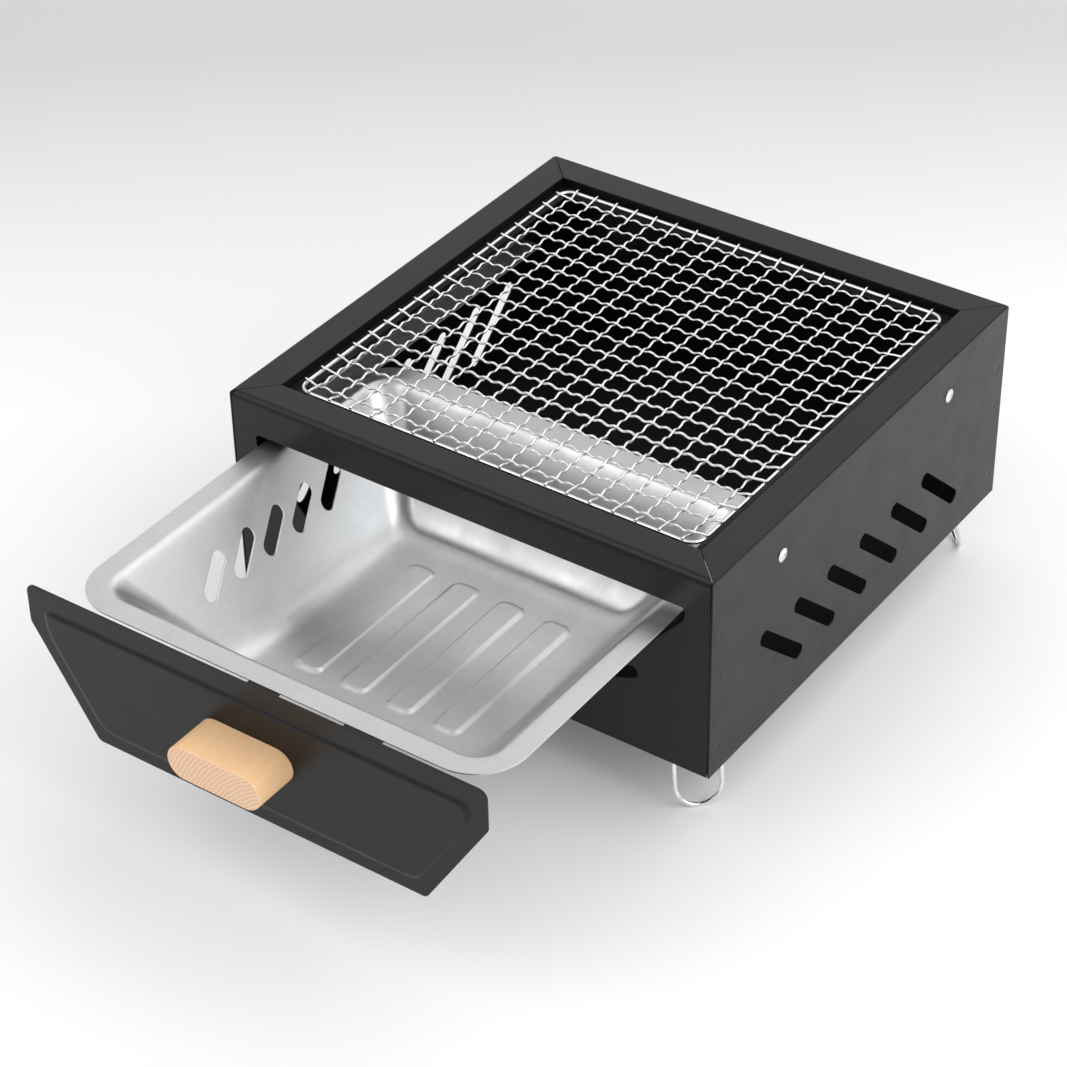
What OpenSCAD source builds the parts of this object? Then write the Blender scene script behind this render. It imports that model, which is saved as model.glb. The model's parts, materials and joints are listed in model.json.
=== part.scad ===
// Table-top charcoal grill: a square sheet-steel body with a lift-off net, a
// charcoal drawer on two rails and four folding wire legs.
// Millimetres, +Z up. The origin is at the middle of the footprint, on the table.
// The drawer is drawn pulled out by drawer_out, as the grill is loaded.

/* [Body] */
// Outside width and depth of the square body
body_w = 350; // [330:5:370]
// Height of the body without its legs
body_h = 144; // [140:1:150]
// Thickness of the body's sheet steel
sheet = 1; // [0.8:0.1:1.2]
// Width of the flat rim round the top
rim_w = 22.5; // [20:0.5:25]
// Outer fold radius along the front edge
front_fold = 4.5; // [3:0.5:6]
// Outer fold radius along the side and back edges
side_fold = 1.5; // [1.5:0.5:3]
// Depth of the step that the net sits in
net_step = 7.4; // [7:0.1:9]
// Width of the ledge under the net
ledge_w = 9; // [8:0.5:11]
// Height of the bottom plate above the body's lower edge
plate_lift = 8; // [8:0.5:12]

/* [Front opening] */
// Half width of the drawer opening
open_half = 156.5; // [155:0.5:158]
// Height of the opening's top edge
open_top = 118.6; // [117:0.2:120]
// Height where the opening's sides start to slant
open_knee = 110.4; // [108:0.2:111]
// Half width of the opening's lower edge
open_low_half = 90; // [90:0.5:96]
// Height of the opening's lower edge
open_low = 34; // [32:1:35]
// Width of the notch near the foot of each slanted side
notch_w = 9; // [6:0.5:10]

/* [Side vents] */
// Number of slots in each side panel
vent_count = 6; // [3:1:7]
// Distance between slots
vent_pitch = 38.4; // [36:0.2:40]
// Width of a slot
vent_w = 10; // [7:0.5:12]
// Length of a slot between its end centres
vent_run = 54; // [40:1:58]
// Slope of a slot
vent_slope = 42.3; // [35:0.1:50]
// Height of the middle of a slot
vent_z = 48.3; // [45:0.1:55]

/* [Rails] */
// Length of a rail
rail_len = 230; // [220:5:250]
// Height of the rail's lower shelf
rail_shelf_z = 111.7; // [111:0.1:111.7]
// Distance from the middle to the shelf's inner edge
rail_inner = 145; // [144:0.5:147]
// Height of the rail's upper lip
rail_top_z = 124; // [122:1:126]
// Distance from the middle to each rail screw
rail_screw_y = 99.5; // [90:0.5:105]
// Height of the rail screws
rail_screw_z = 117.3; // [117:0.1:118]
// Diameter of a rail screw's head
rail_head_d = 9; // [8:0.5:11]

/* [Net] */
// Number of wires each way
net_wires = 18; // [14:1:18]
// Distance between wires
net_pitch = 16; // [15:0.1:16]
// Diameter of a net wire
net_wire_d = 1.6; // [1.2:0.1:2]
// Diameter of the net's rim wire
net_rim_d = 2.5; // [2:0.1:3]
// Width of the net's rim, centre to centre
net_rim_w = 291; // [288:1:292]
// Corner radius of the net's rim
net_rim_r = 9; // [6:1:14]
// How far the wire ends stand out past the rim
net_stub = 0.8; // [0.5:0.1:2]

/* [Drawer] */
// How far the drawer is pulled out
drawer_out = 198; // [150:1:198]
// Outside width of the pan's rim
pan_w = 305; // [300:1:306]
// Outside length of the pan's rim
pan_l = 300; // [290:1:302]
// Height of the top of the pan's rim
pan_top = 113; // [113:0.1:114]
// Width of the pan's flat rim
pan_rim = 15.5; // [14:0.5:18]
// Height of the pan's inside floor
pan_floor = 42; // [41:0.5:46]
// Corner radius of the pan's rim
pan_r = 33; // [28:1:38]
// Half width of the pan's floor
floor_half = 88; // [84:1:92]
// Thickness of the pan's sheet
pan_sheet = 0.8; // [0.8:0.1:1]
// Number of ribs raised from the floor
rib_count = 4; // [2:1:5]
// Distance between ribs
rib_pitch = 33.8; // [30:0.2:34]
// Width of a rib
rib_w = 18.8; // [14:0.2:20]
// Length of a rib
rib_l = 120; // [100:2:126]
// Height of a rib above the floor
rib_rise = 1.3; // [1:0.1:3]
// Number of slots in each long wall of the pan
slot_count = 5; // [3:1:5]
// Distance between the pan's slots
slot_pitch = 28; // [25:0.5:28]
// Width of a pan slot
slot_w = 9; // [6:0.5:9.5]

/* [Drawer front] */
// Half width of the drawer front
front_half = 162; // [160:1:165]
// Height of its lower edge
front_low = 31; // [30:1:32]
// Height of its upper edge
front_top = 128; // [125:1:132]
// Width of each slanted lower corner
front_cut_x = 43.5; // [40:0.5:46]
// Height of each slanted lower corner
front_cut_z = 70; // [65:1:75]
// Width of the flat border round the panel
border = 12; // [9:1:16]
// How far the middle of the panel is pressed out
front_dish = 1.4; // [1:0.1:2.5]

/* [Handle] */
// Width of the wooden handle
handle_w = 66; // [60:1:75]
// Height of the wooden handle
handle_h = 23; // [20:1:26]
// How far the handle stands out
handle_l = 31; // [26:1:36]
// Height of the handle's middle
handle_z = 80; // [74:1:86]

/* [Legs] */
// Height of the body's lower edge above the table
leg_h = 40; // [34:1:44]
// Diameter of the leg wire
leg_wire_d = 3; // [2:0.1:3.2]
// Width of a leg loop, centre to centre
leg_w = 29; // [24:1:32]
// Outward splay of a leg
leg_splay = 15; // [8:1:20]
// Distance of the leg hinges from the middle, along each diagonal
leg_reach = 214; // [208:1:218]

/* [Hidden] */

$fn = 48;
arc_steps = 6;            // steps along each rounded corner of an outline
fit_gap = 0.3;            // space between pieces that move past each other
seam = 0.7;               // groove where two body panels meet
play = 0.05;              // radial play round a screw or rivet

// Body
body_half = body_w / 2;
inner = body_half - sheet;
rim_in = body_half - rim_w;
ledge_top = body_h - net_step;
tab_w = 14;               // folded tabs behind the corners
tab_low = 12;
tab_high = 118;
skirt_low = 2;            // lower edge of the bottom plate's skirt
notch_start = [104, 50];  // end centres of the notch in the front opening's right side
notch_end = [120.5, 56.5];
weld_y = 166;             // spot weld marks on the side panels
weld_zs = [19, 73, 101];
weld_ball_r = 20;
weld_depth = 0.25;

// Rails
rail_t = 1;
rail_lip_x = 150;         // inner edge of the rail's upper lip
rail_shank_d = 4;
rail_shank_l = 7;
rail_head_h = 1.9;
rail_head_edge = 0.7;     // straight side of a rail screw's head, under its dome
rail_socket_d = 3.4;
rail_socket_depth = 1.2;
nut_flats = 7;
nut_h = 3.2;

// Net
net_lift = (net_rim_d + net_wire_d) / 2 + 0.05;
net_z = ledge_top + fit_gap + net_wire_d / 2 + net_lift;
net_half = net_rim_w / 2;
net_wire_l = net_rim_w + net_rim_d + 2 * net_stub;

// Drawer, in its closed place
front_back_y = -body_half - fit_gap;
front_border_y = front_back_y - sheet;
front_face_y = front_border_y - front_dish;
handle_end_y = front_border_y - handle_l;
handle_x = -2.5;
handle_screw_dx = 18;
handle_screw_d = 4;
handle_screw_depth = 20;
handle_head_d = 8;
handle_head_h = 2.4;
pan_gap = 16.3;           // space between the drawer front and the pan's rim
pan_mid = front_back_y + pan_gap + pan_l / 2;
pan_in_r = pan_r - pan_rim;
floor_r = 12;
rib_r = 6;
slot_low_z = 77.8;        // end centres of the pan's slots
slot_high_z = 89.3;
slot_lean = 9.3;          // half of how far a slot leans back
slot_shift = -3.3;        // the row of slots sits a little forward of the middle
hook_places = [[-2.5, 22], [67, 26]];
hook_drop = 16;
hook_reach = 26;

// Legs
clip_play = 0.06;         // running play of a leg's bar in its clip
clip_sheet = 0.9;
clip_w = 15;
clip_l = 17;
clip_rivet_x = -11;
rivet_d = 3;
rivet_head_d = 6;
rivet_head_h = 0.9;
clip_bore_r = leg_wire_d / 2 + clip_play;
knuckle_r = clip_bore_r + clip_sheet;
strap_top = knuckle_r + 0.1;
leg_pivot_z = plate_lift - strap_top;
leg_bend = 4;             // radius at the top corners of a leg loop
leg_drop = (leg_pivot_z + leg_h - leg_wire_d / 2) / cos(leg_splay);
corner_angles = [-135, -45, 135, 45];

// The origin is in the middle of the whole footprint, drawer and handle included.
foot_shift = (drawer_out - handle_end_y - body_half) / 2;

module place_body() {
    translate([0, foot_shift, leg_h]) children();
}

module place_drawer() {
    translate([0, foot_shift - drawer_out, leg_h]) children();
}

module at_corner(angle) {
    rotate(angle) translate([leg_reach, 0, leg_pivot_z]) children();
}

// Extrudes a section drawn in Y and Z along X, centred.
module along_x(length) {
    translate([-length / 2, 0, 0]) rotate([90, 0, 90]) linear_extrude(length) children();
}

// Extrudes an outline drawn in X and Z along +Y, starting at y.
module along_y(y, depth) {
    translate([0, y + depth, 0]) rotate([90, 0, 0]) linear_extrude(depth) children();
}

// ---- Outlines ----

function unit(v) = v / norm(v);
function wrap(t) = t > 180 ? t - 360 : t < -180 ? t + 360 : t;

// The points of an outline with rounded corners; each entry is [x, y, radius].
function rounded(pts) = [
    for (i = [0 : len(pts) - 1])
        let (
            n = len(pts),
            p = [pts[i].x, pts[i].y],
            before = pts[(i + n - 1) % n],
            after = pts[(i + 1) % n],
            u = unit([before.x, before.y] - p),
            v = unit([after.x, after.y] - p),
            half = acos(u * v) / 2,
            r = pts[i].z,
            c = p + unit(u + v) * r / sin(half),
            a = p + u * r / tan(half) - c,
            b = p + v * r / tan(half) - c,
            start = atan2(a.y, a.x),
            turn = wrap(atan2(b.y, b.x) - start)
        )
        for (k = [0 : arc_steps])
            c + r * [cos(start + turn * k / arc_steps), sin(start + turn * k / arc_steps)]
];

function box_outline(hx, hy, r) = rounded([[-hx, -hy, r], [hx, -hy, r], [hx, hy, r], [-hx, hy, r]]);

// The drawer front's outline, set in from its edge by inset.
module front_outline(inset, r) {
    knee_z = front_low + front_cut_z;
    slant = inset * (sqrt(front_cut_x * front_cut_x + front_cut_z * front_cut_z) - front_cut_x)
            / front_cut_z;
    low_x = front_half - front_cut_x - slant;
    polygon(rounded([
        [-front_half + inset, front_top - inset, r], [front_half - inset, front_top - inset, r],
        [front_half - inset, knee_z + slant, r], [low_x, front_low + inset, r],
        [-low_x, front_low + inset, r], [-front_half + inset, knee_z + slant, r]
    ]));
}

module opening_outline() {
    polygon(rounded([
        [-open_half, open_top, 3], [open_half, open_top, 3],
        [open_half, open_knee, 8], [open_low_half, open_low, 6],
        [-open_low_half, open_low, 6], [-open_half, open_knee, 8]
    ]));
}

// A slot with round ends, between two end centres.
module slot(a, b, w) {
    d = b - a;
    translate(a) rotate(atan2(d.y, d.x)) {
        circle(d = w);
        translate([0, -w / 2]) square([norm(d), w]);
        translate([norm(d), 0]) circle(d = w);
    }
}

// ---- Body panels: each is drawn in the front one's place and turned round ----

// The folded top of a panel: bend, flat rim, lip and net ledge, mitred at its ends.
module folded_top(fold, half) {
    intersection() {
        along_x(body_w) {
            translate([-body_half + fold, body_h - fold]) intersection() {
                difference() {
                    circle(fold);
                    circle(fold - sheet);
                }
                translate([-fold, 0]) square(fold);
            }
            translate([-body_half + fold, body_h - sheet]) square([rim_w - fold, sheet]);
            translate([-rim_in - sheet, ledge_top - sheet]) square([sheet, net_step]);
            translate([-rim_in, ledge_top - sheet]) square([ledge_w, sheet]);
        }
        linear_extrude(body_h + 1)
            polygon([[-half, -body_half - 1], [half, -body_half - 1], [half, -half - seam / 2],
                     [0, -seam / 2], [-half, -half - seam / 2]]);
    }
}

module end_panel_shell(opened) {
    wall_half = inner - seam;
    folded_top(opened ? front_fold : side_fold, wall_half);
    difference() {
        translate([-wall_half, -body_half, 0])
            cube([2 * wall_half, sheet, body_h - (opened ? front_fold : side_fold)]);
        if (opened) {
            along_y(-body_half - 1, sheet + 2) opening_outline();
            for (side = [-1, 1])
                along_y(-body_half - 1, sheet + 2)
                    slot([side * notch_start.x, notch_start.y],
                         [side * notch_end.x, notch_end.y], notch_w);
        }
    }
    // tabs that lie behind the side panels
    for (side = [-1, 1])
        translate([side * (inner - sheet / 2) - sheet / 2, -inner - sheet / 2, tab_low])
            cube([sheet, tab_w + sheet / 2, tab_high - tab_low]);
}

module side_panel_shell() {
    difference() {
        union() {
            folded_top(side_fold, body_half - seam / 2);
            translate([-body_half, -body_half, 0]) cube([body_w, sheet, body_h - side_fold]);
        }
        for (i = [0 : vent_count - 1])
            let (
                x = (i - (vent_count - 1) / 2) * vent_pitch,
                reach = [cos(vent_slope), -sin(vent_slope)] * vent_run / 2
            )
            along_y(-body_half - 1, sheet + 2)
                slot([x, vent_z] + reach, [x, vent_z] - reach, vent_w);
        for (x = [-rail_screw_y, rail_screw_y])
            translate([x, -body_half - 1, rail_screw_z]) rotate([-90, 0, 0])
                cylinder(h = sheet + 2, d = rail_shank_d + 2 * play);
        for (x = [-weld_y, weld_y], z = weld_zs)
            translate([x, -body_half - weld_ball_r + weld_depth, z]) sphere(weld_ball_r);
    }
}

module front_panel() {
    color("#2d2e2e") place_body() end_panel_shell(true);
}

module back_panel() {
    color("#2d2e2e") place_body() rotate(180) end_panel_shell(false);
}

module left_side_panel() {
    color("#3a3b3b") place_body() rotate(-90) side_panel_shell();
}

module right_side_panel() {
    color("#3a3b3b") place_body() rotate(90) side_panel_shell();
}

module bottom_plate() {
    color("#262727") place_body() difference() {
        translate([-inner, -inner, skirt_low])
            cube([2 * inner, 2 * inner, plate_lift + sheet - skirt_low]);
        translate([-inner + sheet, -inner + sheet, skirt_low - 1])
            cube([2 * (inner - sheet), 2 * (inner - sheet), plate_lift - skirt_low + 1]);
        for (angle = corner_angles)
            at_corner(angle) translate([clip_rivet_x, 0, 0])
                cylinder(h = plate_lift, d = rivet_d + 2 * play);
    }
}

// ---- Rails and their screws ----

module slide_rail() {
    difference() {
        along_y(-rail_len / 2, rail_len) {
            translate([rail_inner, rail_shelf_z - rail_t]) square([inner - rail_inner, rail_t]);
            translate([inner - rail_t, rail_shelf_z - rail_t])
                square([rail_t, rail_top_z - rail_shelf_z + rail_t]);
            translate([rail_lip_x, rail_top_z - rail_t]) square([inner - rail_lip_x, rail_t]);
        }
        for (y = [-rail_screw_y, rail_screw_y])
            translate([inner - rail_t - 1, y, rail_screw_z]) rotate([0, 90, 0])
                cylinder(h = rail_t + 2, d = rail_shank_d + 2 * play);
    }
}

module left_slide_rail() {
    color("#a9acac") place_body() rotate(180) slide_rail();
}

module right_slide_rail() {
    color("#a9acac") place_body() slide_rail();
}

// A domed screw along X, with its head on the +X side of x = 0.
module domed_screw() {
    dome_h = rail_head_h - rail_head_edge;
    ball_r = (rail_head_d * rail_head_d / 4 + dome_h * dome_h) / (2 * dome_h);
    rotate([0, 90, 0]) rotate_extrude() {
        difference() {
            intersection() {
                translate([0, rail_head_h - ball_r]) circle(ball_r);
                square([rail_head_d / 2, rail_head_h + 1]);
            }
            translate([0, rail_head_h - rail_socket_depth])
                square([rail_socket_d / 2, rail_head_h]);
        }
        translate([0, -rail_shank_l]) square([rail_shank_d / 2, rail_shank_l]);
    }
}

module rail_screws() {
    color("#d8dadb") place_body()
        for (turn = [0, 180], y = [-rail_screw_y, rail_screw_y])
            rotate(turn) translate([body_half, y, rail_screw_z]) domed_screw();
}

module rail_nuts() {
    color("#b4b7b8") place_body()
        for (turn = [0, 180], y = [-rail_screw_y, rail_screw_y])
            rotate(turn) translate([inner - rail_t, y, rail_screw_z]) rotate([0, -90, 0])
                difference() {
                    cylinder(h = nut_h, d = nut_flats / cos(30), $fn = 6);
                    translate([0, 0, -1]) cylinder(h = nut_h + 2, d = rail_shank_d + 2 * play);
                }
}

// ---- Net ----

module wire(length, d) {
    cylinder(h = length, d = d, center = true);
}

module net_rim() {
    color("#d5d7d7") place_body() translate([0, 0, net_z])
        for (turn = [0 : 90 : 270])
            rotate(turn) {
                translate([0, -net_half, 0]) rotate([0, 90, 0])
                    wire(net_rim_w - 2 * net_rim_r, net_rim_d);
                translate([net_half - net_rim_r, -net_half + net_rim_r, 0])
                    rotate(-90) rotate_extrude(angle = 90)
                        translate([net_rim_r, 0]) circle(d = net_rim_d);
            }
}

// One layer of parallel wires along Y.
module wire_layer() {
    for (i = [0 : net_wires - 1])
        translate([(i - (net_wires - 1) / 2) * net_pitch, 0, 0]) rotate([90, 0, 0])
            wire(net_wire_l, net_wire_d);
}

module net_long_wires() {
    color("#e2e4e4") place_body() translate([0, 0, net_z + net_lift]) wire_layer();
}

module net_cross_wires() {
    color("#e2e4e4") place_body() translate([0, 0, net_z - net_lift]) rotate(90) wire_layer();
}

// ---- Drawer ----

// The pan's tapered hollow, grown outwards by o.
module pan_bowl(o, top) {
    hull() {
        translate([0, 0, pan_floor - o]) linear_extrude(0.01)
            polygon(box_outline(floor_half + o, floor_half + o - (pan_w - pan_l) / 2, floor_r));
        translate([0, 0, top]) linear_extrude(0.01)
            polygon(box_outline(pan_w / 2 - pan_rim + o, pan_l / 2 - pan_rim + o, pan_in_r));
    }
}

module rib_places() {
    for (i = [0 : rib_count - 1])
        translate([(i - (rib_count - 1) / 2) * rib_pitch, 0, 0]) children();
}

// A rib with rounded corners, set in from its outline by inset.
module rib(inset, low, high) {
    translate([0, 0, low]) linear_extrude(high - low)
        polygon(box_outline(rib_w / 2 - inset, rib_l / 2 - inset, rib_r - inset));
}

module charcoal_pan() {
    color("#b3b5b6") place_drawer() translate([0, pan_mid, 0]) difference() {
        union() {
            difference() {
                union() {
                    pan_bowl(pan_sheet, pan_top - pan_sheet);
                    translate([0, 0, pan_top - pan_sheet]) linear_extrude(pan_sheet)
                        polygon(box_outline(pan_w / 2, pan_l / 2, pan_r));
                }
                pan_bowl(0, pan_top + 0.05);
            }
            rib_places() rib(0, pan_floor - pan_sheet / 2, pan_floor + rib_rise);
        }
        rib_places() rib(pan_sheet, pan_floor - pan_sheet - 1, pan_floor + rib_rise - pan_sheet);
        for (i = [0 : slot_count - 1])
            translate([0, slot_shift + (i - (slot_count - 1) / 2) * slot_pitch, 0])
                along_x(pan_w)
                    slot([-slot_lean, slot_low_z], [slot_lean, slot_high_z], slot_w);
    }
}

module drawer_front() {
    color("#3c3d3d") place_drawer() difference() {
        union() {
            along_y(front_border_y, sheet) front_outline(0, 5);
            along_y(front_face_y, front_dish + sheet) front_outline(border, 5);
        }
        along_y(front_face_y + sheet, front_dish + 1) front_outline(border + sheet, 4);
        for (side = [-1, 1])
            handle_screw_place(side) cylinder(h = 12, d = handle_screw_d + 4 * play, center = true);
    }
}

// At a handle screw's axis, on the panel's back face; +Z runs out through the handle.
module handle_screw_place(side) {
    translate([handle_x + side * handle_screw_dx, front_face_y + sheet, handle_z])
        rotate([90, 0, 0]) children();
}

module pan_hooks() {
    hook_top = pan_top - pan_sheet;
    color("#303131") place_drawer()
        for (place = hook_places)
            translate([place.x - place.y / 2, front_back_y, hook_top - hook_drop]) {
                cube([place.y, sheet, hook_drop]);
                translate([0, 0, hook_drop - sheet]) cube([place.y, hook_reach, sheet]);
            }
}

module drawer_handle() {
    color("#e8c796") place_drawer() difference() {
        along_y(handle_end_y, front_face_y - handle_end_y)
            translate([handle_x, handle_z])
                slot([-(handle_w - handle_h) / 2, 0], [(handle_w - handle_h) / 2, 0], handle_h);
        for (side = [-1, 1])
            handle_screw_place(side) cylinder(h = handle_screw_depth + 1, d = handle_screw_d + 2 * play);
    }
}

module handle_screws() {
    color("#c4c6c7") place_drawer()
        for (side = [-1, 1])
            handle_screw_place(side) {
                translate([0, 0, -handle_head_h]) cylinder(h = handle_head_h, d = handle_head_d);
                cylinder(h = handle_screw_depth, d = handle_screw_d);
            }
}

// ---- Legs ----

module leg_clips() {
    color("#b9bcbd") place_body()
        for (angle = corner_angles)
            at_corner(angle) difference() {
                along_y(-clip_w / 2, clip_w) difference() {
                    union() {
                        circle(knuckle_r);
                        translate([-clip_l, strap_top - clip_sheet + 0.05])
                            square([clip_l + 0.6, clip_sheet - 0.05]);
                    }
                    circle(clip_bore_r);
                }
                translate([clip_rivet_x, 0, 0])
                    cylinder(h = 2 * strap_top, d = rivet_d + 2 * play);
            }
}

module leg_clip_rivets() {
    color("#c9cccd") place_body()
        for (angle = corner_angles)
            at_corner(angle) translate([clip_rivet_x, 0, strap_top]) {
                translate([0, 0, -clip_sheet]) cylinder(h = clip_sheet + sheet, d = rivet_d);
                translate([0, 0, -clip_sheet - rivet_head_h])
                    cylinder(h = rivet_head_h, d = rivet_head_d);
                translate([0, 0, sheet]) cylinder(h = rivet_head_h, d = rivet_head_d);
            }
}

// One wire loop: a bar that turns in the clip, two sides and a round foot.
module leg(angle) {
    half = leg_w / 2;
    color("#d9dbdc") place_body() at_corner(angle) rotate([0, -leg_splay, 0]) {
        rotate([90, 0, 0]) wire(leg_w - 2 * leg_bend, leg_wire_d);
        for (side = [0, 180])
            rotate(side) {
                translate([0, half - leg_bend, -leg_bend]) rotate([90, 0, 90])
                    rotate_extrude(angle = 90)
                        translate([leg_bend, 0]) circle(d = leg_wire_d);
                translate([0, half, -leg_drop + half])
                    cylinder(h = leg_drop - half - leg_bend, d = leg_wire_d);
            }
        translate([0, 0, -leg_drop + half]) rotate([90, 0, 90]) rotate(180)
            rotate_extrude(angle = 180) translate([half, 0]) circle(d = leg_wire_d);
    }
}

module front_left_leg() {
    leg(corner_angles[0]);
}

module front_right_leg() {
    leg(corner_angles[1]);
}

module rear_left_leg() {
    leg(corner_angles[2]);
}

module rear_right_leg() {
    leg(corner_angles[3]);
}

front_panel();
back_panel();
left_side_panel();
right_side_panel();
bottom_plate();
left_slide_rail();
right_slide_rail();
rail_screws();
rail_nuts();
leg_clips();
leg_clip_rivets();
net_rim();
net_long_wires();
net_cross_wires();
charcoal_pan();
drawer_front();
pan_hooks();
drawer_handle();
handle_screws();
front_left_leg();
front_right_leg();
rear_left_leg();
rear_right_leg();
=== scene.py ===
import math

import bmesh
import bpy
import numpy as np
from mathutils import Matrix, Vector
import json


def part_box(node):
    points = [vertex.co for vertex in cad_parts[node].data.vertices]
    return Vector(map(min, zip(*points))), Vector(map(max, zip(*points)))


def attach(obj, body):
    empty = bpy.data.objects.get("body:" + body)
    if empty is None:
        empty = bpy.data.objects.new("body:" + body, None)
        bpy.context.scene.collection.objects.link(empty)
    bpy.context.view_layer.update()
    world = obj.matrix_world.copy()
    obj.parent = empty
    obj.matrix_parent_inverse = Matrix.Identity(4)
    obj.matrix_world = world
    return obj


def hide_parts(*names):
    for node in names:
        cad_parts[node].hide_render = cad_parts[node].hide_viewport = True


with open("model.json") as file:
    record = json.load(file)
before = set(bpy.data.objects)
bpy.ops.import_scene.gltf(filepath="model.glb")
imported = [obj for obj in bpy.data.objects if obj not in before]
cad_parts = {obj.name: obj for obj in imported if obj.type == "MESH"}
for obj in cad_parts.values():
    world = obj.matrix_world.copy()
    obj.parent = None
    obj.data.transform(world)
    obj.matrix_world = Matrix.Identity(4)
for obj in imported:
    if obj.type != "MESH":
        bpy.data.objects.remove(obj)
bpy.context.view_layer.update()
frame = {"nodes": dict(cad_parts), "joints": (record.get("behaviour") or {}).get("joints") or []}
MM = 0.001
rng = np.random.default_rng(7)

# The body's centre line and lower edge in the row frame, in metres.
PLATE_LO, PLATE_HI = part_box("bottom_plate")
BODY_Y = (PLATE_LO.y + PLATE_HI.y) / 2
BODY_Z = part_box("front_panel")[0].z


# ---------------------------------------------------------------- mesh helpers

def make_object(name, verts, faces, material, smooth=True):
    """A mesh object from points and faces in metres, in the row frame."""
    mesh = bpy.data.meshes.new(name)
    mesh.from_pydata([tuple(map(float, v)) for v in verts], [], [tuple(map(int, f)) for f in faces])
    mesh.validate()
    mesh.update()
    if smooth:
        mesh.polygons.foreach_set("use_smooth", [True] * len(mesh.polygons))
    mesh.materials.append(material)
    obj = bpy.data.objects.new(name, mesh)
    bpy.context.scene.collection.objects.link(obj)
    return obj


def apply_modifiers(obj):
    """Bakes every modifier of obj into its mesh."""
    graph = bpy.context.evaluated_depsgraph_get()
    baked = bpy.data.meshes.new_from_object(obj.evaluated_get(graph))
    old = obj.data
    obj.modifiers.clear()
    obj.data = baked
    bpy.data.meshes.remove(old)


def shade_by_angle(obj, degrees):
    """Smooth shading that stays crisp at edges sharper than the angle."""
    mesh = obj.data
    bm = bmesh.new()
    bm.from_mesh(mesh)
    limit = math.radians(degrees)
    for face in bm.faces:
        face.smooth = True
    for edge in bm.edges:
        edge.smooth = len(edge.link_faces) == 2 and edge.calc_face_angle(0.0) < limit
    bm.to_mesh(mesh)
    bm.free()


def tube(path, radius, sides, closed=False):
    """A round tube along a path of points, its ring carried along without twist."""
    path = np.asarray(path, float)
    n = len(path)
    if closed:
        tangent = np.roll(path, -1, 0) - np.roll(path, 1, 0)
    else:
        tangent = np.gradient(path, axis=0)
    tangent /= np.linalg.norm(tangent, axis=1)[:, None]
    helper = np.array([0.0, 0.0, 1.0]) if abs(tangent[0][2]) < 0.9 else np.array([1.0, 0.0, 0.0])
    side = np.cross(tangent[0], helper)
    side /= np.linalg.norm(side)
    turn = np.linspace(0, 2 * math.pi, sides, endpoint=False)
    verts = np.empty((n, sides, 3))
    for i in range(n):
        side = side - tangent[i] * (side @ tangent[i])
        side /= np.linalg.norm(side)
        up = np.cross(tangent[i], side)
        ring = np.outer(np.cos(turn), side) + np.outer(np.sin(turn), up)
        verts[i] = path[i] + radius * ring
    faces = []
    for i in range(n if closed else n - 1):
        j = (i + 1) % n
        for k in range(sides):
            m = (k + 1) % sides
            faces.append((i * sides + k, i * sides + m, j * sides + m, j * sides + k))
    if not closed:
        faces.append(tuple(range(sides))[::-1])
        faces.append(tuple((n - 1) * sides + k for k in range(sides)))
    return verts.reshape(-1, 3), faces


def join_shapes(shapes):
    """One vertex list and face list from several (vertices, faces) pairs."""
    verts, faces, start = [], [], 0
    for v, f in shapes:
        verts.append(np.asarray(v, float))
        faces.extend(tuple(i + start for i in face) for face in f)
        start += len(v)
    return np.concatenate(verts), faces


def prism(outline, low, high, axes):
    """A closed prism over a 2D outline. axes places (u, v, w) on X, Y and Z; w runs low to high."""
    n = len(outline)
    flat = np.asarray(outline, float)
    ends = [np.column_stack([flat, np.full(n, w)]) for w in (low, high)]
    points = np.concatenate(ends)
    placed = np.empty_like(points)
    for source, target in enumerate(axes):
        placed[:, target] = points[:, source]
    faces = [tuple(range(n))[::-1], tuple(range(n, 2 * n))]
    faces += [(k, (k + 1) % n, n + (k + 1) % n, n + k) for k in range(n)]
    return placed, faces


def outward(obj):
    """Makes every face of a closed mesh look outward."""
    bm = bmesh.new()
    bm.from_mesh(obj.data)
    bmesh.ops.recalc_face_normals(bm, faces=bm.faces)
    bm.to_mesh(obj.data)
    bm.free()


def cut(obj, shape, operation):
    """Boolean of obj with a (vertices, faces) shape, baked in."""
    tool = make_object("cutter", *shape, obj.data.materials[0])
    outward(tool)
    boolean = obj.modifiers.new("cut", "BOOLEAN")
    boolean.operation = operation
    boolean.solver = "EXACT"
    boolean.object = tool
    apply_modifiers(obj)
    bpy.data.objects.remove(tool)


def rounded_corners(points, steps):
    """An outline with rounded corners from a list of (u, v, radius)."""
    result = []
    n = len(points)
    for i, (pu, pv, radius) in enumerate(points):
        here = np.array([pu, pv])
        to_last = np.array(points[i - 1][:2]) - here
        to_next = np.array(points[(i + 1) % n][:2]) - here
        to_last /= np.linalg.norm(to_last)
        to_next /= np.linalg.norm(to_next)
        half = math.acos(float(np.clip(to_last @ to_next, -1, 1))) / 2
        middle = to_last + to_next
        centre = here + middle / np.linalg.norm(middle) * radius / math.sin(half)
        first = here + to_last * radius / math.tan(half) - centre
        last = here + to_next * radius / math.tan(half) - centre
        start = math.atan2(first[1], first[0])
        turn = (math.atan2(last[1], last[0]) - start + math.pi) % (2 * math.pi) - math.pi
        for k in range(steps + 1):
            angle = start + turn * k / steps
            result.append(centre + radius * np.array([math.cos(angle), math.sin(angle)]))
    return np.array(result)


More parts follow.
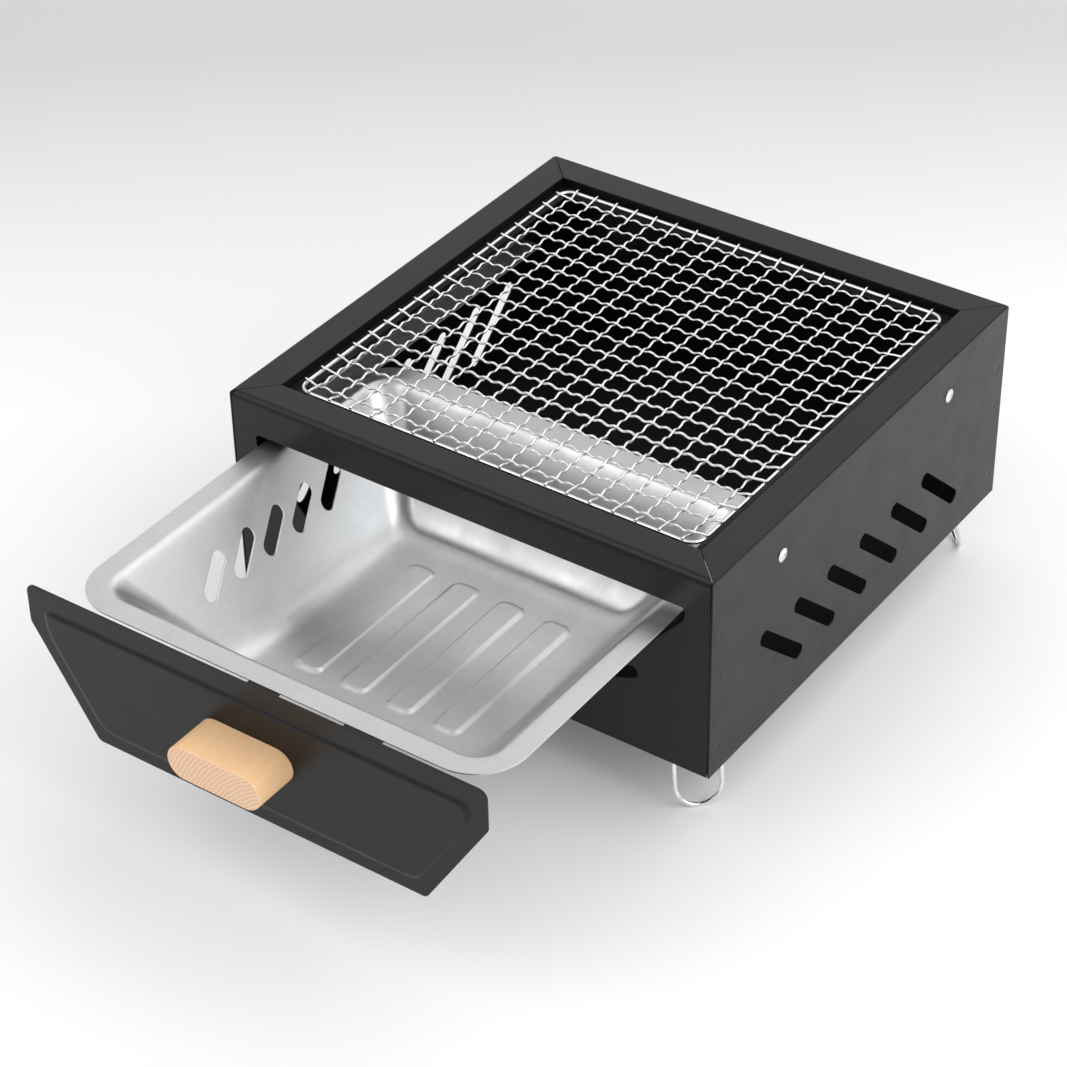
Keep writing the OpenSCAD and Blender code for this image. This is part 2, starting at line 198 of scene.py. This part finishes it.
def stadium(a, b, width, steps=12):
    """The outline of a slot with round ends between two end centres."""
    a, b = np.asarray(a, float), np.asarray(b, float)
    along = math.atan2(*(b - a)[::-1])
    turn = np.linspace(-math.pi / 2, math.pi / 2, steps + 1)
    far = b + width / 2 * np.column_stack([np.cos(turn + along), np.sin(turn + along)])
    near = a - width / 2 * np.column_stack([np.cos(turn + along), np.sin(turn + along)])
    return np.concatenate([far, near])


def smoothstep(t):
    """0 below 0, 1 above 1 and an even S-curve between."""
    t = np.clip(t, 0, 1)
    return t * t * (3 - 2 * t)


SHEET_MARGIN = 3.0          # mm of grid left outside a pressed sheet's outline, to be cut off
CUT_MARGIN = 10 * MM        # how far a cutting shape reaches past the sheet


def sheet_from_grid(name, u, v, place, thickness, material):
    """A sheet of even thickness over a grid: place(u, v) gives the top surface's points."""
    uu, vv = np.meshgrid(u, v, indexing="ij")
    verts = place(uu.ravel(), vv.ravel())
    nv = len(v)
    index = np.arange(len(u) * nv).reshape(len(u), nv)
    corners = (index[:-1, :-1], index[1:, :-1], index[1:, 1:], index[:-1, 1:])
    faces = np.stack(corners, -1).reshape(-1, 4)
    obj = make_object(name, verts, faces, material)
    solid = obj.modifiers.new("thickness", "SOLIDIFY")
    solid.thickness = thickness
    solid.offset = -1
    apply_modifiers(obj)
    return obj


def finish_piece(obj, body, slot_name, *nodes):
    """Puts a closed piece on its body, in place of the CAD nodes that it stands for."""
    outward(obj)
    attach(obj, body)
    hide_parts(*nodes)


# ---------------------------------------------------------------- materials

class Nodes:
    """Short names for building a shader."""

    def __init__(self, name):
        self.material = bpy.data.materials.new(name)
        self.material.use_nodes = True
        self.tree = self.material.node_tree
        self.bsdf = self.tree.nodes["Principled BSDF"]

    def add(self, kind, **inputs):
        """A new node with the named inputs set; an underscore stands for a space."""
        node = self.tree.nodes.new(kind)
        for key, value in inputs.items():
            node.inputs[key.replace("_", " ")].default_value = value
        return node

    def link(self, out, socket):
        self.tree.links.new(out, socket)

    def feed(self, socket, value):
        """Links an output to the socket, or sets a plain number on it."""
        if isinstance(value, bpy.types.NodeSocket):
            self.link(value, socket)
        else:
            socket.default_value = value

    def coords(self, scale=(1, 1, 1), rotation=(0, 0, 0)):
        """The object's own coordinates in metres, stretched and turned."""
        source = self.add("ShaderNodeTexCoord")
        mapping = self.add("ShaderNodeMapping", Scale=scale, Rotation=rotation)
        self.link(source.outputs["Object"], mapping.inputs["Vector"])
        return mapping.outputs["Vector"]

    def noise(self, vector, scale, detail=3.0, roughness=0.5):
        node = self.add("ShaderNodeTexNoise", Scale=scale, Detail=detail, Roughness=roughness)
        self.link(vector, node.inputs["Vector"])
        return node.outputs["Fac"]

    def ramp(self, value, stops):
        """A colour ramp from (position, grey or colour) stops."""
        node = self.add("ShaderNodeValToRGB")
        self.link(value, node.inputs["Fac"])
        elements = node.color_ramp.elements
        while len(elements) < len(stops):
            elements.new(0.5)
        for element, (position, colour) in zip(elements, stops):
            element.position = position
            if isinstance(colour, (int, float)):
                colour = (colour, colour, colour)
            element.color = (*colour, 1)
        return node.outputs["Color"]

    def mix(self, amount, a, b, blend="MIX"):
        node = self.tree.nodes.new("ShaderNodeMix")
        node.data_type = "RGBA"
        node.blend_type = blend
        self.feed(node.inputs[0], amount)
        self.feed(node.inputs[6], a)
        self.feed(node.inputs[7], b)
        return node.outputs[2]

    def math(self, operation, a, b):
        node = self.add("ShaderNodeMath")
        node.operation = operation
        self.feed(node.inputs[0], a)
        self.feed(node.inputs[1], b)
        return node.outputs[0]

    def bump(self, height, strength, distance, normal=None):
        node = self.add("ShaderNodeBump", Strength=strength, Distance=distance)
        self.link(height, node.inputs["Height"])
        if normal:
            self.link(normal, node.inputs["Normal"])
        self.link(node.outputs["Normal"], self.bsdf.inputs["Normal"])

    def soft_edges(self, radius):
        """A normal that rounds off crisp folds and sheared edges."""
        node = self.add("ShaderNodeBevel", Radius=radius)
        node.samples = 6
        return node.outputs["Normal"]


def black_coat(name, tone, roughness, gloss, top_light_tone):
    """Satin black powder coat: a faint orange peel, painted light on upward faces and uneven gloss.
    """
    m = Nodes(name)
    where = m.coords()
    cloud = m.noise(where, scale=14.0, detail=4.0, roughness=0.6)
    base = m.ramp(cloud, [(0.3, tone), (0.75, tone * 1.35)])
    split = m.add("ShaderNodeSeparateXYZ")
    m.link(m.add("ShaderNodeTexCoord").outputs["Normal"], split.inputs["Vector"])
    # Painted light: faces that look upward are made lighter, as if lit from above.
    top_light = m.ramp(split.outputs["Z"], [(0.7, 0.0), (0.95, top_light_tone)])
    m.link(m.mix(1.0, base, top_light, "ADD"), m.bsdf.inputs["Base Color"])
    patches = m.noise(where, scale=55.0)
    uneven = m.ramp(patches, [(0.3, roughness - 0.04), (0.7, roughness + 0.04)])
    m.link(uneven, m.bsdf.inputs["Roughness"])
    peel = m.noise(where, scale=900.0, detail=2.0)
    m.bump(peel, strength=0.10, distance=0.4 * MM, normal=m.soft_edges(0.7 * MM))
    m.bsdf.inputs["Specular IOR Level"].default_value = gloss
    return m.material


def galvanised(name, streak_scale, base_roughness):
    """Galvanised sheet: pressed streaks, a cloudy zinc bloom and small scuffs."""
    m = Nodes(name)
    m.bsdf.inputs["Metallic"].default_value = 1.0
    where = m.coords()
    streaks = m.noise(m.coords(streak_scale), scale=6.0, detail=5.0, roughness=0.65)
    clouds = m.noise(where, scale=30.0, detail=6.0, roughness=0.7)
    spots = m.noise(where, scale=260.0, roughness=0.6)
    tone = m.mix(0.5, streaks, clouds)
    colour = m.ramp(tone, [(0.32, (0.62, 0.63, 0.64)), (0.52, (0.67, 0.68, 0.69)),
                           (0.70, (0.72, 0.725, 0.73))])
    speckle = m.ramp(spots, [(0.30, 0.96), (0.55, 1.0)])
    m.link(m.mix(1.0, colour, speckle, "MULTIPLY"), m.bsdf.inputs["Base Color"])
    rough = m.ramp(tone, [(0.35, base_roughness + 0.10), (0.65, base_roughness - 0.04)])
    m.link(rough, m.bsdf.inputs["Roughness"])
    dents = m.mix(0.2, streaks, spots)
    m.bump(dents, strength=0.05, distance=0.5 * MM, normal=m.soft_edges(0.5 * MM))
    return m.material


def plated_wire(name, dull, bright):
    """Bright plated wire with faint draw marks; its roughness wanders from dull to bright."""
    m = Nodes(name)
    m.bsdf.inputs["Metallic"].default_value = 1.0
    where = m.coords()
    blotch = m.noise(where, scale=180.0)
    tone = m.ramp(blotch, [(0.35, (0.80, 0.80, 0.79)), (0.65, (0.93, 0.93, 0.92))])
    m.link(tone, m.bsdf.inputs["Base Color"])
    m.link(m.ramp(blotch, [(0.3, dull), (0.7, bright)]), m.bsdf.inputs["Roughness"])
    draw_marks = m.noise(where, scale=1400.0, detail=2.0)
    m.bump(draw_marks, strength=0.3 * bright, distance=0.2 * MM)
    return m.material


def bright_steel():
    """Zinc-plated fasteners."""
    m = Nodes("bright_steel")
    m.bsdf.inputs["Metallic"].default_value = 1.0
    fine = m.noise(m.coords(), scale=420.0, detail=4.0)
    tone = m.ramp(fine, [(0.3, (0.78, 0.78, 0.77)), (0.7, (0.92, 0.92, 0.91))])
    m.link(tone, m.bsdf.inputs["Base Color"])
    m.link(m.ramp(fine, [(0.3, 0.30), (0.7, 0.22)]), m.bsdf.inputs["Roughness"])
    m.bump(fine, strength=0.03, distance=0.2 * MM, normal=m.soft_edges(0.3 * MM))
    return m.material


RING_HEART_X, RING_HEART_Z = 0.055, 0.075     # the growth rings' middle, outside the handle


def beech():
    """Sanded beech: curved growth rings on the front face, short flecks along the sides."""
    m = Nodes("beech")
    normal = m.add("ShaderNodeTexCoord").outputs["Normal"]
    split = m.add("ShaderNodeSeparateXYZ")
    m.link(normal, split.inputs["Vector"])
    on_end = m.ramp(m.math("MULTIPLY", split.outputs["Y"], -1.0), [(0.6, 0.0), (0.9, 1.0)])
    rings = m.add("ShaderNodeTexWave", Scale=130.0, Distortion=3.5, Detail=2.0)
    rings.inputs["Detail Scale"].default_value = 1.5
    rings.wave_type = "RINGS"
    rings.rings_direction = "Y"
    offset = (-RING_HEART_X, 0, -RING_HEART_Z)
    from_heart = m.add("ShaderNodeMapping", Location=offset, Scale=(1.0, 0.0, 1.0))
    m.link(m.coords(), from_heart.inputs["Vector"])
    m.link(from_heart.outputs["Vector"], rings.inputs["Vector"])
    end_tone = m.ramp(rings.outputs["Fac"], [(0.0, (0.88, 0.61, 0.41)), (0.6, (0.85, 0.57, 0.38)),
                                             (1.0, (0.76, 0.47, 0.31))])
    grain = m.noise(m.coords((1, 0.05, 1)), scale=260.0, detail=4.0, roughness=0.6)
    side_tone = m.ramp(grain, [(0.30, (0.97, 0.58, 0.29)), (0.62, (0.99, 0.66, 0.38))])
    flecks = m.noise(m.coords((1, 0.25, 1)), scale=850.0, detail=2.0)
    fleck_tone = m.ramp(flecks, [(0.27, 0.90), (0.36, 1.0)])
    wood = m.mix(1.0, m.mix(on_end, side_tone, end_tone), fleck_tone, "MULTIPLY")
    m.link(wood, m.bsdf.inputs["Base Color"])
    m.link(m.ramp(grain, [(0.3, 0.62), (0.7, 0.52)]), m.bsdf.inputs["Roughness"])
    m.bump(m.mix(0.5, grain, flecks), strength=0.15, distance=0.3 * MM)
    return m.material


# The last number of each coat is painted light: how much lighter its upward faces are made.
COAT = black_coat("black_coat", tone=0.0045, roughness=0.34, gloss=0.30, top_light_tone=0.007)
COAT_INSIDE = black_coat("black_coat_inside", tone=0.008, roughness=0.8, gloss=0.15, top_light_tone=0.0)
ZINC_PAN = galvanised("galvanised_pan", streak_scale=(3.0, 0.5, 3.0), base_roughness=0.31)
ZINC_RAIL = galvanised("galvanised_rail", streak_scale=(0.6, 0.6, 6.0), base_roughness=0.38)
WIRE = plated_wire("plated_wire", dull=0.34, bright=0.20)
CHROME = plated_wire("chromed_wire", dull=0.16, bright=0.10)
STEEL = bright_steel()
WOOD = beech()


# ---------------------------------------------------------------- camera, floor and lights

CAMERA_AZIMUTH, CAMERA_ELEVATION, CAMERA_ROLL = 35.674, 36.437, -1.114     # degrees
CAMERA_DISTANCE = 1.8966                                                   # metres
CAMERA_LENS, CAMERA_SENSOR = 102.86, 36                                    # mm
CAMERA_TARGET = Vector((-7.96, -91.35, 52.5)) * MM + Vector((0, BODY_Y, BODY_Z))
FLOOR_HALF = 6.0                                                           # metres
# FLOOR_GLOW is painted light: the floor's own faint glow, which lightens its shadows.
FLOOR_GLOW, SKY_STRENGTH = 0.08, 0.66
LIGHT_AIM = Vector((0, 0, 0.1))
LIGHTS = [      # name, place and side of the square in metres, power in watts
    ("softbox", (0.5, 1.7, 2.4), 2.4, 13),
    ("fill", (2.4, 0.2, 1.9), 2.4, 39),
    ("front_left", (-1.4, -1.9, 2.4), 2.0, 20),
    ("back_card", (-1.7, 2.3, 2.1), 2.8, 6),
]


def make_camera():
    """The camera, looking back along its line to the target; sets it as the scene's own."""
    a, e = math.radians(CAMERA_AZIMUTH), math.radians(CAMERA_ELEVATION)
    back = Vector((math.sin(a) * math.cos(e), -math.cos(a) * math.cos(e), math.sin(e)))
    data = bpy.data.cameras.new("camera")
    data.lens = CAMERA_LENS
    data.sensor_width = CAMERA_SENSOR
    data.clip_end = 50
    camera = bpy.data.objects.new("camera", data)
    camera.location = CAMERA_TARGET + back * CAMERA_DISTANCE
    camera.rotation_euler = back.to_track_quat("Z", "Y").to_matrix().to_euler()
    camera.rotation_euler.rotate_axis("Z", math.radians(CAMERA_ROLL))
    bpy.context.scene.collection.objects.link(camera)
    bpy.context.scene.camera = camera


def area_light(name, place, side, power):
    """A square soft light that looks at the body."""
    data = bpy.data.lights.new(name, "AREA")
    data.shape = "SQUARE"
    data.size = side
    data.energy = power
    light = bpy.data.objects.new(name, data)
    light.location = place
    light.rotation_euler = (Vector(place) - LIGHT_AIM).to_track_quat("Z", "Y").to_euler()
    bpy.context.scene.collection.objects.link(light)


def pale_floor():
    """Pale matt floor that gets a little darker far behind the object; a faint painted glow lifts
    its shadows.
    """
    m = Nodes("pale_floor")
    cloud = m.ramp(m.noise(m.coords(), scale=1.5), [(0.3, 0.92), (0.7, 0.94)])
    split = m.add("ShaderNodeSeparateXYZ")
    m.link(m.coords(rotation=(0, 0, -math.radians(CAMERA_AZIMUTH))), split.inputs["Vector"])
    depth = m.ramp(split.outputs["Y"], [(0.30, 1.0), (0.85, 0.62)])
    m.link(m.mix(1.0, cloud, depth, "MULTIPLY"), m.bsdf.inputs["Base Color"])
    # Painted light: the floor glows faintly by itself, which lightens its shadows.
    m.bsdf.inputs["Emission Color"].default_value = (1, 1, 1, 1)
    m.bsdf.inputs["Emission Strength"].default_value = FLOOR_GLOW
    m.bsdf.inputs["Roughness"].default_value = 0.75
    m.bsdf.inputs["Specular IOR Level"].default_value = 0.2
    return m.material


def make_stage():
    """Floor, even white sky, soft lights and a plain view transform."""
    half = FLOOR_HALF
    corners = [(-half, -half, 0), (half, -half, 0), (half, half, 0), (-half, half, 0)]
    floor = make_object("floor", corners, [(0, 1, 2, 3)], pale_floor(), smooth=False)
    world = bpy.data.worlds.new("studio")
    world.use_nodes = True
    sky = world.node_tree.nodes["Background"]
    sky.inputs["Color"].default_value = (1, 1, 1, 1)
    sky.inputs["Strength"].default_value = SKY_STRENGTH
    bpy.context.scene.world = world
    for light in LIGHTS:
        area_light(*light)
    view = bpy.context.scene.view_settings
    view.view_transform = "Standard"
    view.look = "None"


# ---------------------------------------------------------------- cooking net

NET_LO, NET_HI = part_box("net_rim")
NET_WIRE_D = 1.6 * MM
NET_RIM_D = NET_HI.z - NET_LO.z
NET_Z = (NET_LO.z + NET_HI.z) / 2
NET_HALF = (NET_HI.x - NET_LO.x - NET_RIM_D) / 2     # to the rim wire's centre line
NET_WIRES, NET_PITCH = 18, 16 * MM
NET_STEPS = 15               # points between two crossings
NET_CRIMP_BENDS = 3          # half waves of the crimp between two crossings
NET_TAIL_STEPS = 5           # points between the last crossing and the rim wire
NET_WANDER = 0.12 * MM       # how far a wire strays from its straight line
NET_RIM_RADIUS = 9 * MM
NET_REACH = NET_HALF + 1.5 * MM


def woven_wire(across, phase):
    """The centre line of one crimped wire: (along, across, height), its ends on the rim wire."""
    rim_pass = (NET_RIM_D + NET_WIRE_D) / 2
    outer = (NET_WIRES - 1) / 2 * NET_PITCH
    along = np.linspace(-outer, outer, (NET_WIRES - 1) * NET_STEPS + 1)
    wave = np.cos(NET_CRIMP_BENDS * math.pi * (along + outer) / NET_PITCH)
    height = NET_WIRE_D / 2 * phase * wave
    tail = np.linspace(0, 1, NET_TAIL_STEPS + 1)[1:]
    run = outer + (NET_HALF - outer) * tail
    start, end = (h + (rim_pass - h) * smoothstep(tail) for h in (height[0], height[-1]))
    along = np.concatenate([[-NET_REACH], -run[::-1], along, run, [NET_REACH]])
    height = np.concatenate([[rim_pass], start[::-1], height, end, [rim_pass]])
    shift, lean, bend, _ = rng.normal(0, NET_WANDER, 4)
    u = along / NET_REACH
    bow = shift + lean * u + bend * u * u
    return along, across + bow, height


def net_layer(name, lengthwise, node):
    """All the wires that run one way, each the other way up from its neighbours."""
    shapes = []
    for i in range(NET_WIRES):
        across = (i - (NET_WIRES - 1) / 2) * NET_PITCH
        phase = 1 if (i % 2 == 0) == lengthwise else -1
        along, side, height = woven_wire(across, phase)
        x, y = (side, along) if lengthwise else (along, side)
        path = np.column_stack([x, y + BODY_Y, height + NET_Z])
        shapes.append(tube(path, NET_WIRE_D / 2, sides=8))
    obj = make_object(name, *join_shapes(shapes), WIRE)
    finish_piece(obj, "net", "plated_wire", node)


def net_rim():
    """The thicker wire round the net."""
    half, r = NET_HALF, NET_RIM_RADIUS
    corners = [(-half, -half, r), (half, -half, r), (half, half, r), (-half, half, r)]
    outline = rounded_corners(corners, steps=10)
    path = np.column_stack([outline[:, 0], outline[:, 1] + BODY_Y, np.full(len(outline), NET_Z)])
    obj = make_object("woven_net_rim", *tube(path, NET_RIM_D / 2, sides=12, closed=True), WIRE)
    finish_piece(obj, "net", "plated_wire", "net_rim")


# ---------------------------------------------------------------- charcoal pan

# The pan's, the drawer front's and the handle's lengths are in millimetres.
PAN_LO, PAN_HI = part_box("charcoal_pan")
PAN_Y = (PAN_LO.y + PAN_HI.y) / 2
PAN_WIDTH = (PAN_HI.x - PAN_LO.x) / MM
PAN_LENGTH = (PAN_HI.y - PAN_LO.y) / MM
PAN_SHEET = 0.8
PAN_RIM, PAN_CORNER = 15.5, 33.0               # width of the rim, radius of its corners
PAN_FLOOR_HALF, PAN_FLOOR_CORNER = 88.0, 12.0
PAN_RAIL_GAP = 0.15                            # keeps the rippled rim off the rails
PAN_CLEAR = 0.6                                # how far the floor lies above the CAD floor
PAN_TOP = PAN_HI.z / MM - PAN_RAIL_GAP
PAN_DEPTH = (PAN_HI.z - PAN_LO.z) / MM - PAN_SHEET - PAN_CLEAR
PAN_FLOOR_BEND, PAN_RIM_BEND = 5.5, 1.6        # softness of the pressed bends
PAN_RIPPLE = 0.22                              # how uneven the pressed sheet is
RIBS, RIB_PITCH, RIB_WIDTH, RIB_LENGTH = 4, 33.8, 18.8, 120.0
RIB_RISE, RIB_CORNER, RIB_EDGE = 1.3, 6.0, 1.4     # height, corner radius, width of the edge
SLOTS, SLOT_PITCH, SLOT_WIDTH = 5, 28.0, 9.0
SLOT_ENDS = ((-12.6, -35.2), (6.0, -23.7))     # along the wall, and down from the rim
PAN_GRID = 1.2
SHARE_LOW, SHARE_HIGH, SHARE_HALVINGS = -0.5, 1.7, 24     # the search in wall_share


def rounded_box_distance(x, y, half_x, half_y, radius):
    """Signed distance to a rounded rectangle round the origin, negative inside."""
    qx, qy = np.abs(x) - (half_x - radius), np.abs(y) - (half_y - radius)
    outside = np.hypot(np.maximum(qx, 0), np.maximum(qy, 0))
    return outside + np.minimum(np.maximum(qx, qy), 0) - radius


def wall_share(x, y):
    """How far down the sloping wall a point lies: 0 at the rim's inner edge, 1 at the floor."""
    top_x, top_y = PAN_WIDTH / 2 - PAN_RIM, PAN_LENGTH / 2 - PAN_RIM
    slope_run = top_x - PAN_FLOOR_HALF
    low, high = np.full_like(x, SHARE_LOW), np.full_like(x, SHARE_HIGH)
    for _ in range(SHARE_HALVINGS):
        t = (low + high) / 2
        radius = PAN_CORNER - PAN_RIM + t * (PAN_FLOOR_CORNER - PAN_CORNER + PAN_RIM)
        inside = rounded_box_distance(x, y, top_x - t * slope_run, top_y - t * slope_run, radius) < 0
        low, high = np.where(inside, t, low), np.where(inside, high, t)
    return low


def pan_height(x, y):
    """Height of the pan's upper face below its rim, with pressed bends and floor ribs."""
    share = wall_share(x, y)
    above_floor = PAN_DEPTH * (1 - share)
    height = PAN_FLOOR_BEND * np.logaddexp(0, above_floor / PAN_FLOOR_BEND) - PAN_DEPTH
    height = -PAN_RIM_BEND * np.logaddexp(0, -height / PAN_RIM_BEND)
    for i in range(RIBS):
        across = x - (i - (RIBS - 1) / 2) * RIB_PITCH
        inset = -rounded_box_distance(across, y, RIB_WIDTH / 2, RIB_LENGTH / 2, RIB_CORNER)
        height += RIB_RISE * smoothstep(inset / RIB_EDGE)
    # Slow waves that keep no step with the ribs, a quarter as high on the rim as on the floor.
    ripple = np.sin(x * 0.031 + 1.3) * np.sin(y * 0.027 + 0.4) + 0.6 * np.sin(y * 0.06 + x * 0.02)
    return height + PAN_RIPPLE * ripple * (0.25 + 0.75 * smoothstep(share))


def charcoal_pan():
    """The pressed pan: a rippled sheet, cut to its rounded rim and slotted in both long walls."""
    half_x, half_y = PAN_WIDTH / 2, PAN_LENGTH / 2
    u = np.arange(-half_x - SHEET_MARGIN, half_x + SHEET_MARGIN + PAN_GRID, PAN_GRID)
    v = np.arange(-half_y - SHEET_MARGIN, half_y + SHEET_MARGIN + PAN_GRID, PAN_GRID)

    def place(x, y):
        return np.column_stack([x, y + PAN_Y / MM, pan_height(x, y) + PAN_TOP]) * MM

    obj = sheet_from_grid("pressed_charcoal_pan", u, v, place, PAN_SHEET * MM, ZINC_PAN)
    signs = ((-1, -1), (1, -1), (1, 1), (-1, 1))
    corners = [(half_x * sx, half_y * sy, PAN_CORNER) for sx, sy in signs]
    outline = rounded_corners(corners, steps=14)
    outline[:, 1] += PAN_Y / MM
    low, high = PAN_LO.z - CUT_MARGIN, PAN_HI.z + CUT_MARGIN
    cut(obj, prism(outline * MM, low, high, (0, 1, 2)), "INTERSECT")
    slots = []
    for i in range(SLOTS):
        y = PAN_Y / MM + (i - (SLOTS - 1) / 2) * SLOT_PITCH
        ends = [(y + dy, PAN_TOP + dz) for dy, dz in SLOT_ENDS]
        slots.append(prism(stadium(*ends, SLOT_WIDTH) * MM, PAN_LO.x, PAN_HI.x, (1, 2, 0)))
    cut(obj, join_shapes(slots), "DIFFERENCE")
    shade_by_angle(obj, degrees=40)
    finish_piece(obj, "drawer", "galvanised", "charcoal_pan")


# ---------------------------------------------------------------- drawer front and handle

FRONT_LO, FRONT_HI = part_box("drawer_front")
FRONT_SHEET = 1.0
FRONT_CUT_X, FRONT_CUT_Z = 43.5, 70.0          # size of the slanted cut at each lower corner
FRONT_TOP_RADIUS, FRONT_LOW_RADIUS = 6, 5      # of the outline's corners
FRONT_BORDERS = (15.0, 12.0, 10.0, 10.5, 10.0, 12.0)     # flat borders, in the corners' order
FRONT_BLEND = 2.5                              # softness of the pressed area's corners
FRONT_STEP = 2.2                               # width of the pressed step
FRONT_BOX_GAP = 0.1                            # keeps the pressed face inside the CAD box
FRONT_GRID = 1.1


def front_corners():
    """The drawer front's six corners: (x, z, radius), from the top left."""
    half = FRONT_HI.x / MM
    low, high = FRONT_LO.z / MM, FRONT_HI.z / MM
    knee, foot = low + FRONT_CUT_Z, half - FRONT_CUT_X
    top = [(-half, high, FRONT_TOP_RADIUS), (half, high, FRONT_TOP_RADIUS)]
    lower = [(half, knee), (foot, low), (-foot, low), (-half, knee)]
    return top + [(x, z, FRONT_LOW_RADIUS) for x, z in lower]


def front_bulge(x, z):
    """How far the middle of the drawer front is pressed out: 0 on the border, 1 inside."""
    corners = [np.array(c[:2]) for c in front_corners()]
    nearest = np.full_like(x, 1e3)     # farther than any edge
    for i, border in enumerate(FRONT_BORDERS):
        a, b = corners[i], corners[(i + 1) % len(corners)]
        along = (b - a) / np.linalg.norm(b - a)
        distance = np.abs((x - a[0]) * along[1] - (z - a[1]) * along[0]) - border
        nearest = -FRONT_BLEND * np.logaddexp(-nearest / FRONT_BLEND, -distance / FRONT_BLEND)
    return smoothstep(nearest / FRONT_STEP + 0.5)


def drawer_front():
    """The pressed drawer front, cut to its six-cornered outline."""
    edge_x, low, high = FRONT_HI.x / MM, FRONT_LO.z / MM, FRONT_HI.z / MM
    u = np.arange(-edge_x - SHEET_MARGIN, edge_x + SHEET_MARGIN + FRONT_GRID, FRONT_GRID)
    v = np.arange(low - SHEET_MARGIN, high + SHEET_MARGIN + FRONT_GRID, FRONT_GRID)
    border_y = FRONT_HI.y / MM - FRONT_SHEET
    press = border_y - FRONT_LO.y / MM - FRONT_BOX_GAP

    def place(x, z):
        y = border_y - press * front_bulge(x, z)
        return np.column_stack([x, y, z]) * MM

    obj = sheet_from_grid("pressed_drawer_front", u, v, place, FRONT_SHEET * MM, COAT)
    outline = rounded_corners(front_corners(), steps=8)
    near, far = FRONT_LO.y - CUT_MARGIN, FRONT_HI.y + CUT_MARGIN
    cut(obj, prism(outline * MM, near, far, (0, 2, 1)), "INTERSECT")
    shade_by_angle(obj, degrees=35)
    finish_piece(obj, "drawer", "black_coat", "drawer_front")


HANDLE_EASE, HANDLE_EASE_STEPS = 1.1, 5        # the rounding of the front edge
HANDLE_RINGS = (0.35, 0.7, 1.0)                # shares of the depth that get a ring of points


def wooden_handle():
    """A round-ended block with an eased front edge."""
    lo, hi = (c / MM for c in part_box("drawer_handle"))
    height = hi.z - lo.z
    middle_z = (lo.z + hi.z) / 2
    turns = [k * math.pi / 2 / HANDLE_EASE_STEPS for k in range(HANDLE_EASE_STEPS, -1, -1)]
    profile = [(lo.y + HANDLE_EASE * (1 - math.sin(t)), HANDLE_EASE * (1 - math.cos(t)))
               for t in turns]
    profile += [(lo.y + (hi.y - lo.y) * share, 0) for share in HANDLE_RINGS]
    ends = (lo.x + height / 2, middle_z), (hi.x - height / 2, middle_z)
    rings = []
    for y, inset in profile:
        outline = stadium(*ends, height - 2 * inset, steps=24)
        rings.append(np.column_stack([outline[:, 0], np.full(len(outline), y), outline[:, 1]]))
    n = len(rings[0])
    verts = np.concatenate(rings) * MM
    faces = [tuple(range(n)), tuple((len(rings) - 1) * n + k for k in range(n))[::-1]]
    for i in range(len(rings) - 1):
        faces += [(i * n + k, i * n + (k + 1) % n, (i + 1) * n + (k + 1) % n, (i + 1) * n + k)
                  for k in range(n)]
    obj = make_object("beech_handle", verts, faces, WOOD)
    shade_by_angle(obj, degrees=40)
    finish_piece(obj, "drawer", "beech", "drawer_handle")


# ---------------------------------------------------------------- legs

LEG_WIRE = 3 * MM
LEG_HALF = 14.5 * MM
LEG_BEND = 4 * MM
LEG_FOOT = 0.999 * LEG_HALF     # the foot is a half circle but for a very short straight
LEG_SPLAY = math.radians(15)


def leg_loop(joint):
    """A bent wire loop under one corner, built from its hinge joint: bar, splay and foot."""
    pivot, bar = Vector(joint["pos_m"]), Vector(joint["axis"])
    out = bar.cross(Vector((0, 0, 1)))
    down = Vector((0, 0, -1)) * math.cos(LEG_SPLAY) + out * math.sin(LEG_SPLAY)
    node = joint["child"]
    drop = (pivot.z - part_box(node)[0].z - LEG_WIRE / 2) / math.cos(LEG_SPLAY)
    corners = [(-LEG_HALF, 0, LEG_BEND), (LEG_HALF, 0, LEG_BEND),
               (LEG_HALF, drop, LEG_FOOT), (-LEG_HALF, drop, LEG_FOOT)]
    outline = rounded_corners(corners, steps=16)
    path = [pivot + bar * float(u) + down * float(v) for u, v in outline]
    obj = make_object(node + "_wire", *tube(path, LEG_WIRE / 2, sides=16, closed=True), CHROME)
    finish_piece(obj, node, "plated_wire", node)


# ---------------------------------------------------------------- carried-over CAD nodes

FINISHES = {
    "front_panel": COAT, "back_panel": COAT, "left_side_panel": COAT, "right_side_panel": COAT,
    "bottom_plate": COAT_INSIDE, "pan_hooks": COAT, "left_slide_rail": ZINC_RAIL,
    "right_slide_rail": ZINC_RAIL, "leg_clips": ZINC_RAIL, "rail_screws": STEEL,
    "rail_nuts": STEEL, "leg_clip_rivets": COAT_INSIDE, "handle_screws": STEEL,
}


def paint_cad_nodes():
    """Gives each CAD node that stays visible its procedural material."""
    for node, material in FINISHES.items():
        obj = frame["nodes"][node]
        if not obj.material_slots:
            obj.data.materials.append(material)
        for slot in obj.material_slots:
            slot.material = material


make_camera()
make_stage()
paint_cad_nodes()
net_rim()
net_layer("woven_long_wires", True, "net_long_wires")
net_layer("woven_cross_wires", False, "net_cross_wires")
charcoal_pan()
drawer_front()
wooden_handle()
for joint in frame["joints"]:
    if joint["type"] == "hinge":
        leg_loop(joint)
